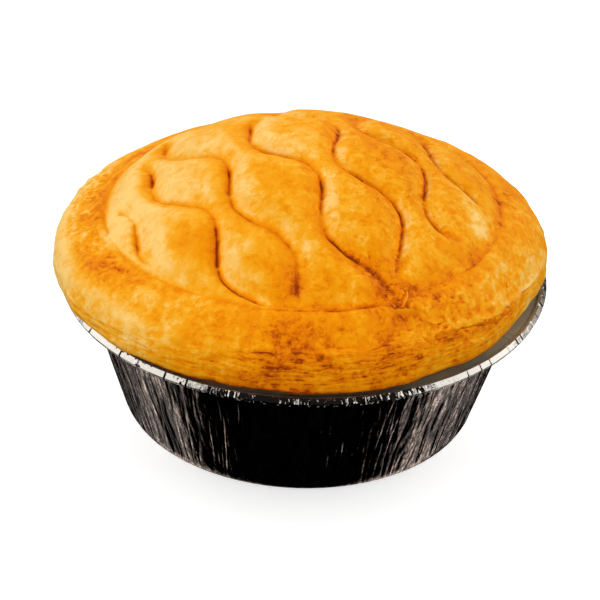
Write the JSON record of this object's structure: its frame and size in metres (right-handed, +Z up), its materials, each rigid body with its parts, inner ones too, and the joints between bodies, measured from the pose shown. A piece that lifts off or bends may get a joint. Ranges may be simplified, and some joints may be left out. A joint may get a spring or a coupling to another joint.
{
  "type": "steak pie",
  "caption": "Round steak pie baked in its foil tin, with a puffed golden pastry lid pressed with wavy lines inside a ring.",
  "frame": {"origin": "centre of the tin's flat base, on the surface it stands on", "axes": "+Z up through the lid, -Y towards the front of the picture, +X to its right"},
  "size_m": [0.1327, 0.1311, 0.0783],
  "materials": {
    "foil": "bright wrinkled foil that mirrors dark surroundings",
    "pastry": "glazed golden puff pastry, satin to matte"
  },
  "bodies": {
    "root": {"foil_tin": "foil", "pie": "pastry"}
  },
  "joints": []
}
